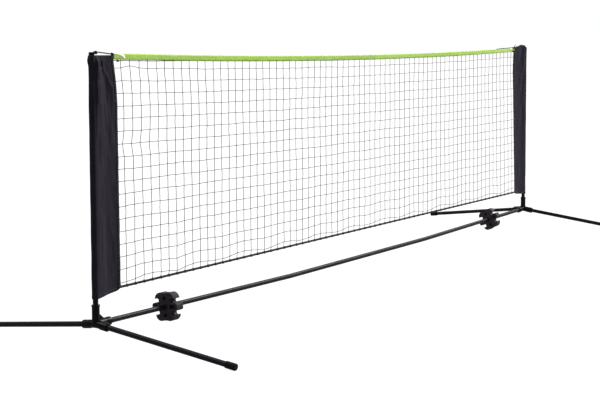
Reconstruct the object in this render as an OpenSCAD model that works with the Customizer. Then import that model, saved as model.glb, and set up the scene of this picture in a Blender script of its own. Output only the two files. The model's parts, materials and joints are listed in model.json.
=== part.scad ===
// Portable sports net on a plug-together steel tube stand.
// X runs along the net, -Y is the front, +Z is up.
// The origin is on the floor, half way between the two posts.

/* [Stand] */
// Distance between the two post axes
post_spacing = 3000; // [2400:10:3600]
// Outer diameter of every steel tube
tube_d = 16; // [15:0.5:17]
// Wall of every steel tube
tube_wall = 1.2; // [0.8:0.1:1.8]
// Height of the hub centre of each corner fitting above the floor
hub_z = 68; // [64:1:90]
// Reach of each foot from its post axis
leg_reach = 492; // [350:1:650]
// Drop of the level middle section of the crossbar below the hub centres
bar_sag = 16; // [4:1:18]
// Height of the top end of each post tube
post_top_z = 831; // [700:1:1000]
// Length of each swaged spigot of the crossbar
spigot_l = 60; // [30:1:90]

/* [Corner fittings] */
// Wall of the sockets
socket_wall = 3.2; // [2.4:0.1:4]
// How far the collars at the socket mouths stand proud
collar_rise = 1.3; // [0.6:0.1:2]
// Mouth of the post socket above the hub centre
post_socket_l = 55; // [45:1:70]
// Mouth of each leg socket from the hub centre
leg_socket_l = 46; // [40:1:60]
// Mouth of the crossbar socket from the hub centre
bar_socket_l = 58; // [50:1:70]
// Length of the collar on the post socket
post_collar_l = 6; // [4:0.5:10]
// Length of the collars on the leg sockets
leg_collar_l = 26; // [15:1:30]
// Length of the collar on the crossbar socket
bar_collar_l = 16; // [10:1:22]
// Distance from the hub centre to the stop inside each socket
tube_stop = 16; // [15:0.5:20]
// Height of the corner web on the post socket
web_h = 36; // [24:1:42]
// Length of the corner web on the crossbar socket
web_l = 34; // [24:1:38]
// Thickness of the corner web
web_t = 4; // [2:0.5:6]
// Width of the ribs on top of the leg sockets
rib_w = 2; // [1:0.5:3]
// Distance between the two ribs on a leg socket
rib_pitch = 7; // [5:0.5:9]

/* [Foot caps] */
// Outer diameter of the foot caps
foot_d = 20; // [19:0.5:26]
// Length of the foot caps
foot_l = 34; // [20:1:50]
// End wall of the foot caps
foot_end = 4; // [2:0.5:6]
// Rounding of the closed end of the foot caps
foot_round = 3; // [1:0.5:3.5]
// Depth of the flat that each foot cap stands on
foot_flat = 1.2; // [0.8:0.1:1.6]

/* [Post caps] */
// Height of the head of each post cap
cap_h = 7; // [4:0.5:10]
// Length of the plug inside the post tube
cap_plug_l = 14; // [8:1:25]
// Radius of the cord eye on each post cap
eye_r = 3.7; // [3.5:0.1:5.5]
// Thickness of the cord eye
eye_t = 4; // [3:0.5:6]
// Distance of the cord eye from the post axis, towards the net
eye_reach = 17.5; // [17:0.5:22]

/* [Storage clips] */
// Distance of the left clip from its post axis
left_clip_inset = 322; // [150:1:600]
// Distance of the right clip from its post axis
right_clip_inset = 376; // [150:1:600]
// Length of a clip along the crossbar
clip_l = 30; // [24:1:50]
// Half height of a clip, over the lobes of its caps
clip_half_h = 43.4; // [42:0.1:48]
// Half width of a clip, over its side arms
clip_half_w = 48; // [46:0.5:52]
// Half width of the caps of a clip
clip_cap_w = 36.5; // [36:0.5:38]
// Radius of the lobes of the caps
lobe_r = 20.4; // [19.5:0.1:21]
// Half height of the side arms
arm_h = 12.1; // [11.5:0.1:13]
// Rounding of the side arms
arm_round = 8.4; // [6:0.1:9]
// Sideways distance of the pole pockets from the crossbar axis
pocket_y = 29.8; // [28:0.1:30.5]
// Opening of the snap mouth of each pole pocket
pocket_mouth = 12.4; // [11:0.1:14]
// Depth of the moulded recesses in the clip's end faces
core_depth = 8; // [4:1:11]
// Turn of the left clip about the crossbar
left_clip_turn = 6; // [0:1:60]
// Turn of the right clip about the crossbar
right_clip_turn = 29; // [0:1:60]

/* [Net] */
// Height of the bottom cord
net_bottom_z = 157; // [145:1:250]
// Sag of the top band at the middle of the net
band_sag = 19; // [5:1:30]
// Height of the folded top band
band_h = 18; // [14:1:30]
// Thickness of the folded top band
band_t = 5.2; // [5:0.1:7]
// Thickness of the tape of the top band
tape_t = 0.8; // [0.5:0.1:0.9]
// Number of columns of net cells
net_columns = 36; // [20:1:36]
// Number of rows of net cells
net_rows = 8; // [4:1:8]
// Width of the net's strands
strand_w = 2; // [1:0.1:3]
// Diameter of the top cord
top_cord_d = 3; // [2:0.1:3.2]
// Diameter of the bottom cord
bottom_cord_d = 6; // [4:0.5:8]

/* [Sleeves] */
// Width of the left sleeve at its top, from the post axis
left_sleeve_top_w = 86; // [60:1:120]
// Width of the left sleeve at its shoulder
left_sleeve_shoulder_w = 103; // [80:1:135]
// Width of the left sleeve at the bottom
left_sleeve_bottom_w = 106; // [80:1:125]
// Width of the right sleeve at its top, from the post axis
right_sleeve_top_w = 121; // [60:1:130]
// Width of the right sleeve at its shoulder
right_sleeve_shoulder_w = 129; // [80:1:140]
// Width of the right sleeve at the bottom
right_sleeve_bottom_w = 101; // [80:1:125]
// Height of a sleeve's shoulder below its top
shoulder_drop = 135; // [60:5:300]
// Room of the cloth tunnel outside the post
tunnel_slack = 3; // [2.5:0.5:8]
// Thickness of the double cloth panel
panel_t = 3; // [2.5:0.1:4]
// Height of the main folds
fold_h = 3; // [0:0.1:5]

/* [Hidden] */
$fn = 48;

// Clearances and small overlaps
fit_gap = 0.06;     // radial running fit of tubes in sockets and clips
seat_gap = 0.1;     // between an end and the stop that it rests on
eps = 1;            // overrun of cuts

// Stand
half_span = post_spacing / 2;
tube_r = tube_d / 2;
bore_r = tube_r - tube_wall;
fit_r = tube_r + fit_gap;
section_x = post_spacing / 6;              // crossbar joint from the middle
bar_run = half_span - section_x;           // level length of an end section
bar_tilt = atan(bar_sag / bar_run);
bar_len = bar_run / cos(bar_tilt);
joint_gap = 0.2;                           // slit at each crossbar joint
spigot_r = bore_r - fit_gap;
shoulder_l = 5;                            // ring that carries a spigot
foot_r = foot_d / 2;
foot_z = foot_r - foot_flat;               // height of a foot cap's end centre
leg_tilt = atan((hub_z - foot_z) / leg_reach);
leg_len = leg_reach / cos(leg_tilt);

// Fitting
socket_r = fit_r + socket_wall;
collar_r = socket_r + collar_rise;
hub_rise = 0.9;                            // hub ball proud of the sockets
edge_c = 1;                                // chamfer of collars and mouths
rib_l = leg_socket_l - leg_collar_l;       // ribs run from the hub to the collar
web_bend = 4;                              // bend of the web's edge, from the socket
web_bevel = 10;                            // bend of the web's edge, below its top

// Post cap
cap_proud = 0.4;                           // head of the cap outside its tube
cap_r = tube_r + cap_proud;
cord_ease = 0.6;                           // between the cord and its eye
eye_z = post_top_z + cap_h;                // height of the cord eye's centre
lug_h = 2.2;                               // lug stays below the knot in the cord
eye_bore_r = top_cord_d / 2 + cord_ease;

// Clip
pocket_ease = 0.25;                        // between a stowed tube and its pocket
pocket_r = tube_r + pocket_ease;
pocket_z = arm_h + pocket_mouth / 2;
lobe_y = clip_cap_w - lobe_r;
lobe_z = clip_half_h - lobe_r;
notch_depth = 1.4;                         // of the notch between two lobes
notch_z = clip_half_h - notch_depth;
cap_inset = 0.5;                           // sides of a cap in from its lobes
core_r = 6;                                // round recess in each cap
core_z = clip_half_h - 17;
core_in = fit_r + 9.7;                     // slot recess in each side arm
core_out = clip_half_w - arm_round;
core_half_h = arm_h - 6.1;

// Net
top_cord_r = top_cord_d / 2;
band_end_drop = 6;                         // band's centre below the post's top
band_end_z = post_top_z - band_end_drop;   // centre of the band at its ends
band_gap = 3;                              // sleeve edge to band end
fold_gap = 0.3;                            // between the cord and what lies round it
cord_drop = band_h / 2 - tape_t - top_cord_r - fold_gap;
net_end_in = 1;                            // net inside the band, at its ends
fold_c = 0.7;                              // step that rounds the band's fold
sleeve_top_z = post_top_z - 2;             // the post's rim stays clear of the cloth
hem_drop = 17;                             // sleeve below the bottom cord, at the post
corner_drop = 8;                           // sleeve below the bottom cord, net side
corner_rise = 14;                          // top of the clipped corner over the cord
sleeve_low_z = net_bottom_z - hem_drop;
sleeve_corner_z = net_bottom_z - corner_drop;
sleeve_edge_z = net_bottom_z + corner_rise;
shoulder_z = sleeve_top_z - shoulder_drop;
shoulder_power = 1.5;                      // bend of the edge above the shoulder
sleeve_levels = 20;                        // rings of cloth from the bottom to the top
band_left = -half_span + left_sleeve_top_w + band_gap;
band_right = half_span - right_sleeve_top_w - band_gap;
band_mid = (band_left + band_right) / 2;
band_half = (band_right - band_left) / 2;
cord_hold = 12;                            // bottom cord inside each sleeve
knot_r = 3.2;
knot_in = 1;                               // knot in from the sleeve's top corner
knot_lift = 5;                             // knot above the sleeve's top edge
cord_lead = 1;                             // straight run of the cord past each eye

// Sleeves
tunnel_r = tube_r + tunnel_slack;
neck_l = 10;                               // cloth that closes the tunnel to a panel
gather = 0.8;                              // tunnel drawn in at the top
gather_power = 8;                          // keeps the gather near the top
fold_apex = 40;                            // point above the post that the folds fan from
fold_rate = 14;                            // waves of cloth per turn of the fan
bore_ease = 1;                             // between the cloth and the post

// Height of the band's centre line at x
function band_z(x) = band_end_z - band_sag * (1 - pow((x - band_mid) / band_half, 2));

function lerp(a, b, t) = a + (b - a) * t;

// Widths of a sleeve at its bottom, its shoulder and its top
function sleeve_widths(side) = side < 0
    ? [left_sleeve_bottom_w, left_sleeve_shoulder_w, left_sleeve_top_w]
    : [right_sleeve_bottom_w, right_sleeve_shoulder_w, right_sleeve_top_w];

// Width of a sleeve at height z
function sleeve_w(side, z) =
    let (
        w = sleeve_widths(side),
        above = max(0, (z - shoulder_z) / (sleeve_top_z - shoulder_z)),
        below = (max(z, sleeve_edge_z) - sleeve_edge_z) / (shoulder_z - sleeve_edge_z)
    )
    z > shoulder_z ? lerp(w[1], w[2], pow(above, shoulder_power)) : lerp(w[0], w[1], below);

// Height of ring l of a sleeve at its net edge
function edge_z(l) = lerp(sleeve_edge_z, sleeve_top_z, l / sleeve_levels);

// ---------- placing ----------

// side -1 is the left post and 1 the right; the crossbar leaves along +X
module at_hub(side) {
    translate([side * half_span, 0, hub_z])
        mirror([side > 0 ? 1 : 0, 0, 0])
            children();
}

// Local +X runs down the sloping leg; end -1 is the front and 1 the rear
module at_leg(side, end) {
    at_hub(side)
        rotate([0, 0, end * 90])
            rotate([0, leg_tilt, 0])
                children();
}

module along_x() {
    rotate([0, 90, 0])
        children();
}

// ---------- stand ----------

module pipe(outer_r, inner_r, length) {
    difference() {
        cylinder(r = outer_r, h = length);
        translate([0, 0, -eps])
            cylinder(r = inner_r, h = length + 2 * eps);
    }
}

// Rod with chamfered rims
module chamfered_rod(r, length) {
    rotate_extrude()
        polygon([
            [0, 0], [r - edge_c, 0], [r, edge_c],
            [r, length - edge_c], [r - edge_c, length], [0, length]
        ]);
}

// Outside of a socket with the collar at its mouth, along +Z
module socket(length, collar_l) {
    cylinder(r = socket_r, h = length - edge_c);
    translate([0, 0, length - collar_l])
        chamfered_rod(collar_r, collar_l);
}

// Bore of a socket with its lead-in
module socket_bore(length) {
    translate([0, 0, tube_stop])
        cylinder(r = fit_r, h = length);
    translate([0, 0, length - edge_c])
        cylinder(r1 = fit_r, r2 = fit_r + 2 * edge_c, h = 2 * edge_c);
}

module leg_ribs() {
    for (y = [-rib_pitch / 2, rib_pitch / 2])
        translate([0, y - rib_w / 2, 0])
            cube([rib_l + edge_c, rib_w, collar_r - edge_c / 2]);
}

module corner_web() {
    rotate([90, 0, 0])
        translate([0, 0, -web_t / 2])
            linear_extrude(web_t)
                polygon([
                    [0, 0], [web_l, -web_l * tan(bar_tilt)],
                    [web_l, socket_r - edge_c], [socket_r + web_bend, web_h - web_bevel],
                    [socket_r - edge_c, web_h], [0, web_h]
                ]);
}

module fitting(side) {
    color("#17171a")
        at_hub(side)
            difference() {
                union() {
                    sphere(r = socket_r + hub_rise);
                    socket(post_socket_l, post_collar_l);
                    rotate([0, bar_tilt, 0])
                        along_x()
                            socket(bar_socket_l, bar_collar_l);
                    corner_web();
                    for (end = [-1, 1])
                        rotate([0, 0, end * 90])
                            rotate([0, leg_tilt, 0]) {
                                along_x()
                                    socket(leg_socket_l, leg_collar_l);
                                leg_ribs();
                            }
                }
                socket_bore(post_socket_l);
                rotate([0, bar_tilt, 0])
                    along_x()
                        socket_bore(bar_socket_l);
                for (end = [-1, 1])
                    rotate([0, 0, end * 90])
                        rotate([0, leg_tilt, 0])
                            along_x()
                                socket_bore(leg_socket_l);
            }
}

module left_fitting() { fitting(-1); }
module right_fitting() { fitting(1); }

// End section of the crossbar, from its socket to its joint
module bar_end(side) {
    start = tube_stop + seat_gap;
    color("#222226")
        at_hub(side)
            rotate([0, bar_tilt, 0])
                along_x()
                    translate([0, 0, start])
                        pipe(tube_r, bore_r, bar_len - joint_gap - start);
}

module bar_left() { bar_end(-1); }
module bar_right() { bar_end(1); }

// Middle section with a swaged spigot at each end
module bar_middle() {
    color("#222226") {
        translate([-section_x, 0, hub_z - bar_sag])
            along_x()
                pipe(tube_r, bore_r, 2 * section_x);
        for (side = [-1, 1])
            translate([side * section_x, 0, hub_z - bar_sag])
                mirror([side > 0 ? 1 : 0, 0, 0]) {
                    along_x()
                        pipe(bore_r + tube_wall / 2, spigot_r - 2 * tube_wall, shoulder_l);
                    rotate([0, bar_tilt, 0])
                        along_x()
                            translate([0, 0, -spigot_l])
                                pipe(spigot_r, spigot_r - tube_wall, spigot_l + shoulder_l / 2);
                }
    }
}

module leg(side, end) {
    start = tube_stop + seat_gap;
    color("#222226")
        at_leg(side, end)
            along_x()
                translate([0, 0, start])
                    pipe(tube_r, bore_r, leg_len - foot_end - start);
}

module left_front_leg() { leg(-1, -1); }
module left_rear_leg() { leg(-1, 1); }
module right_front_leg() { leg(1, -1); }
module right_rear_leg() { leg(1, 1); }

// Moulded cap with a rounded closed end, and the flat that it stands on
module foot(side, end) {
    round_steps = 6;
    profile = concat(
        [[fit_r, 0], [foot_r - edge_c, 0], [foot_r, edge_c]],
        [for (i = [0:round_steps])
            let (a = 90 * i / round_steps)
            [foot_r - foot_round * (1 - cos(a)), foot_l - foot_round * (1 - sin(a))]],
        [[0, foot_l], [0, foot_l - foot_end], [fit_r, foot_l - foot_end]]
    );
    color("#141416")
        difference() {
            at_leg(side, end)
                along_x()
                    translate([0, 0, leg_len - foot_l])
                        rotate_extrude()
                            polygon(profile);
            translate([side * half_span - foot_d, end * leg_reach - foot_l * 2, -foot_d])
                cube([foot_d * 2, foot_l * 4, foot_d]);
        }
}

module left_front_foot() { foot(-1, -1); }
module left_rear_foot() { foot(-1, 1); }
module right_front_foot() { foot(1, -1); }
module right_rear_foot() { foot(1, 1); }

module post(side) {
    low = hub_z + tube_stop + seat_gap;
    color("#222226")
        translate([side * half_span, 0, low])
            pipe(tube_r, bore_r, post_top_z - low);
}

module left_post() { post(-1); }
module right_post() { post(1); }

// Plug and head, with a lug and the eye that the top cord passes through
module post_cap(side) {
    plug_r = bore_r - fit_gap;
    color("#141416")
        translate([side * half_span, 0, post_top_z]) {
            rotate_extrude()
                polygon([
                    [0, -cap_plug_l], [plug_r - edge_c, -cap_plug_l], [plug_r, edge_c - cap_plug_l],
                    [plug_r, 0], [cap_r, 0], [cap_r, cap_h - 2 * edge_c],
                    [cap_r - 2 * edge_c, cap_h], [0, cap_h]
                ]);
            mirror([side > 0 ? 1 : 0, 0, 0]) {
                translate([0, -eye_r, edge_c])
                    cube([eye_reach + eye_t / 2, 2 * eye_r, lug_h]);
                translate([eye_reach - eye_t / 2, 0, eye_z - post_top_z])
                    rotate([90, 0, 90])
                        linear_extrude(eye_t)
                            difference() {
                                union() {
                                    circle(r = eye_r);
                                    translate([-eye_r, -eye_r - eps])
                                        square([2 * eye_r, eye_r + eps]);
                                }
                                circle(r = eye_bore_r);
                            }
            }
        }
}

module left_post_cap() { post_cap(-1); }
module right_post_cap() { post_cap(1); }

// ---------- storage clips ----------

module clip_outline() {
    difference() {
        union() {
            square([2 * (clip_cap_w - cap_inset), 2 * lobe_z], center = true);
            square([2 * lobe_y, 2 * notch_z], center = true);
            for (y = [-lobe_y, lobe_y], z = [-lobe_z, lobe_z])
                translate([y, z])
                    circle(r = lobe_r);
            square([2 * clip_half_w, 2 * (arm_h - arm_round)], center = true);
            square([2 * (clip_half_w - arm_round), 2 * arm_h], center = true);
            for (y = [-1, 1], z = [-1, 1])
                translate([y * (clip_half_w - arm_round), z * (arm_h - arm_round)])
                    circle(r = arm_round);
        }
        circle(r = fit_r);
        for (y = [-1, 1], z = [-1, 1]) {
            translate([y * pocket_y, z * pocket_z])
                circle(r = pocket_r);
            translate([y * (pocket_y + clip_half_w / 2), z * pocket_z])
                square([clip_half_w, pocket_mouth], center = true);
        }
    }
}

// Blind recesses that keep the mouldings' walls even
module clip_cores() {
    for (z = [-core_z, core_z])
        translate([0, z])
            circle(r = core_r);
    for (side = [0, 1])
        mirror([side, 0])
            translate([core_in, -core_half_h])
                square([core_out - core_in, 2 * core_half_h]);
}

// Moulding that slides and turns on the crossbar
module clip(side, inset, turn) {
    color("#1b1b1f")
        at_hub(side)
            rotate([0, bar_tilt, 0])
                translate([inset / cos(bar_tilt), 0, 0])
                    rotate([-turn, 0, 0])
                        rotate([90, 0, 90])
                            difference() {
                                translate([0, 0, -clip_l / 2])
                                    linear_extrude(clip_l)
                                        clip_outline();
                                for (end = [-1, 1])
                                    translate([0, 0, end * clip_l / 2 - core_depth])
                                        linear_extrude(2 * core_depth)
                                            clip_cores();
                            }
}

module left_clip() { clip(-1, left_clip_inset, left_clip_turn); }
module right_clip() { clip(1, right_clip_inset, right_clip_turn); }

// ---------- net ----------

// X of the net's edge against a sleeve
function net_edge(side, z) = side * (half_span - sleeve_w(side, z) - seat_gap);

// Points up that edge, from the bottom cord to the band
function net_edge_points(side, low, high) = concat(
    [[net_edge(side, low), low]],
    [for (l = [0:sleeve_levels]) if (edge_z(l) < high - eps) [net_edge(side, edge_z(l)), edge_z(l)]],
    [[net_edge(side, high), high]]
);

// Point of the net at share u of its width and share v of its height
function net_point(u, v) =
    let (
        low = net_bottom_z + bottom_cord_d / 2 + strand_w,
        high = band_end_z - band_h / 2,
        z0 = lerp(low, high, v),
        left = net_edge(-1, z0) + strand_w,
        right = net_edge(1, z0) - strand_w,
        x = lerp(left, right, u),
        sag = band_end_z - band_z(min(max(x, band_left), band_right))
    )
    [x, lerp(low, high - sag, v)];

// Four corners of the gap in column i and row j
function net_gap(i, j) =
    let (
        du = strand_w / 2 / (2 * band_half),
        dv = strand_w / 2 / (band_end_z - net_bottom_z),
        u0 = i / net_columns + (i > 0 ? du : 0),
        u1 = (i + 1) / net_columns - (i < net_columns - 1 ? du : 0),
        v0 = j / net_rows + (j > 0 ? dv : 0),
        v1 = (j + 1) / net_rows - (j < net_rows - 1 ? dv : 0)
    )
    [net_point(u0, v0), net_point(u1, v0), net_point(u1, v1), net_point(u0, v1)];

module net_mesh() {
    low = net_bottom_z + bottom_cord_d / 2 + seat_gap;
    shoulder = band_end_z - band_h / 2;
    under_cord = cord_drop - top_cord_r - fold_gap;
    top_steps = 24;
    left_edge = net_edge_points(-1, low, shoulder);
    outline = concat(
        net_edge_points(1, low, shoulder),
        [for (i = [top_steps:-1:0])
            let (x = lerp(band_left + net_end_in, band_right - net_end_in, i / top_steps))
            [x, band_z(x) + under_cord]],
        [for (i = [len(left_edge) - 1:-1:0]) left_edge[i]]
    );
    color("#3a3a3e")
        translate([0, strand_w / 2, 0])
            rotate([90, 0, 0])
                linear_extrude(strand_w)
                    difference() {
                        polygon(outline);
                        for (i = [0:net_columns - 1], j = [0:net_rows - 1])
                            polygon(net_gap(i, j));
                    }
}

// Closed wall of rings with m points each; ends are closed by the caller's faces
function ring_walls(rings, m) = [
    for (i = [0:rings - 2], k = [0:m - 1])
        let (a = i * m + k, b = i * m + (k + 1) % m)
        each [[a, b + m, b], [a, a + m, b + m]]
];

// Faces of an end made of two facing rows, p[0..n-1] and q[0..n-1]
function end_strip(p, q, flip) = [
    for (k = [0:len(p) - 2])
        each flip
            ? [[p[k], p[k + 1], q[k + 1]], [p[k], q[k + 1], q[k]]]
            : [[p[k], q[k + 1], p[k + 1]], [p[k], q[k], q[k + 1]]]
];

// Side view of the band between two heights above and below its centre line
module band_outline(low, high) {
    steps = 28;
    polygon(concat(
        [for (i = [0:steps])
            let (x = lerp(band_left, band_right, i / steps))
            [x, band_z(x) + high]],
        [for (i = [steps:-1:0])
            let (x = lerp(band_left, band_right, i / steps))
            [x, band_z(x) + low]]
    ));
}

// A thickness of the band, centred on the net
module band_layer(thickness, low, high) {
    translate([0, thickness / 2, 0])
        rotate([90, 0, 0])
            linear_extrude(thickness)
                band_outline(low, high);
}

// Tape folded over the top cord, open at the bottom
module top_band() {
    color("#9ec351")
        difference() {
            union() {
                band_layer(band_t, -band_h / 2, band_h / 2 - fold_c);
                band_layer(band_t - 2 * fold_c, 0, band_h / 2);
            }
            band_layer(band_t - 2 * tape_t, -band_h, band_h / 2 - tape_t);
        }
}

// Round cord of eight sides along a route that lies in the XZ plane
module cord(route, r) {
    sides = 8;
    last = len(route) - 1;
    points = [
        for (i = [0:last])
            let (
                t = route[min(i + 1, last)] - route[max(i - 1, 0)],
                n = [-t[1], t[0]] / norm(t)
            )
            for (k = [0:sides - 1])
                let (a = 360 * k / sides)
                [route[i][0] + r * sin(a) * n[0], -r * cos(a), route[i][1] + r * sin(a) * n[1]]
    ];
    first = [for (k = [0:sides / 2 - 1]) k];
    facing = [for (k = [0:sides / 2 - 1]) sides - 1 - k];
    polyhedron(points, concat(ring_walls(last + 1, sides), end_strip(first, facing, false),
        end_strip([for (k = first) k + last * sides], [for (k = facing) k + last * sides], true)));
}

// Tied through the eye of each post cap, and laid in the fold of the band
module top_cord() {
    steps = 24;
    eye_x = half_span - eye_reach;
    tail = eye_x + eye_t / 2 + knot_r + seat_gap;
    lead = eye_x - eye_t / 2 - cord_lead;
    left_knot = [-half_span + left_sleeve_top_w - knot_in, sleeve_top_z + knot_lift];
    right_knot = [half_span - right_sleeve_top_w + knot_in, sleeve_top_z + knot_lift];
    route = concat(
        [[-tail, eye_z], [-lead, eye_z], left_knot],
        [for (i = [0:steps])
            let (x = lerp(band_left, band_right, i / steps))
            [x, band_z(x) + cord_drop]],
        [right_knot, [lead, eye_z], [tail, eye_z]]
    );
    knots = [route[0], left_knot, right_knot, route[len(route) - 1]];
    color("#202023")
        union() {
            cord(route, top_cord_r);
            for (k = knots)
                translate([k[0], 0, k[1]])
                    sphere(r = knot_r, $fn = 24);
        }
}

function bottom_cord_end(side) = side * (half_span - sleeve_widths(side)[0] + cord_hold);

module bottom_cord() {
    color("#17171a")
        translate([bottom_cord_end(-1), 0, net_bottom_z])
            along_x()
                cylinder(r = bottom_cord_d / 2, h = bottom_cord_end(1) - bottom_cord_end(-1));
}

// ---------- sleeves ----------

// Folds that fan out from the upper corner at the post
function fold_y(x, z, share) =
    let (fan = atan2(x, sleeve_top_z + fold_apex - z))
    fold_h * sin(fan * fold_rate) * 4 * share * (1 - share);

// Bottom edge of a sleeve, with its clipped corner at share 1
function sleeve_bottom(share) =
    share < 1 ? lerp(sleeve_low_z, sleeve_corner_z, share) : sleeve_edge_z;

// Cloth tunnel round the post with a double panel to the net
module sleeve(side) {
    levels = sleeve_levels;
    columns = 8;
    panel_x = tunnel_r + neck_l;
    arc = [180, 210, 240, 270, 300];
    n = len(arc) + columns + 1;
    // level l, station k, face -1 front and 1 rear
    points = [
        for (l = [0:levels])
            let (
                v = l / levels,
                w = sleeve_w(side, edge_z(l)),
                r = tunnel_r - gather * pow(v, gather_power)
            )
            for (k = [0:2 * n - 2])
                let (
                    face = k < n ? -1 : 1,
                    s = k < n ? k : 2 * n - 1 - k,
                    share = max(0, (s - len(arc)) / columns),
                    x = s < len(arc)
                        ? r * cos(arc[s])
                        : lerp(panel_x, w, share),
                    y = s < len(arc)
                        ? -face * r * sin(arc[s])
                        : face * panel_t / 2,
                    z = lerp(sleeve_bottom(share), sleeve_top_z, v)
                )
                [x, y + fold_y(x, z, share), z]
    ];
    m = 2 * n - 1;
    front = [for (k = [0:n - 1]) k];
    rear = concat([0], [for (k = [1:n - 1]) m - k]);
    low_faces = concat([[0, m - 1, 1]], end_strip([for (k = [1:n - 1]) front[k]],
        [for (k = [1:n - 1]) rear[k]], false));
    high_faces = [for (f = low_faces) [f[0], f[2], f[1]] + [1, 1, 1] * levels * m];
    color("#2b2933")
        translate([side * half_span, 0, 0])
            mirror([side > 0 ? 1 : 0, 0, 0])
                difference() {
                    polyhedron(points, concat(ring_walls(levels + 1, m), low_faces, high_faces));
                    translate([0, 0, sleeve_low_z - eps])
                        cylinder(r = tube_r + bore_ease, h = sleeve_top_z - sleeve_low_z + 2 * eps);
                    translate([sleeve_widths(side)[0] - cord_hold - seat_gap, 0, net_bottom_z])
                        along_x()
                            cylinder(r = bottom_cord_d / 2 + seat_gap, h = 2 * cord_hold);
                }
}

module left_sleeve() { sleeve(-1); }
module right_sleeve() { sleeve(1); }

// ---------- drawing ----------

left_fitting();
right_fitting();
bar_left();
bar_middle();
bar_right();
left_front_leg();
left_rear_leg();
right_front_leg();
right_rear_leg();
left_front_foot();
left_rear_foot();
right_front_foot();
right_rear_foot();
left_post();
right_post();
left_post_cap();
right_post_cap();
left_clip();
right_clip();
left_sleeve();
right_sleeve();
net_mesh();
top_band();
top_cord();
bottom_cord();
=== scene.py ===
"""Dresses the frame of a portable sports net: finishes, cords, band, sleeves and netting."""

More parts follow.
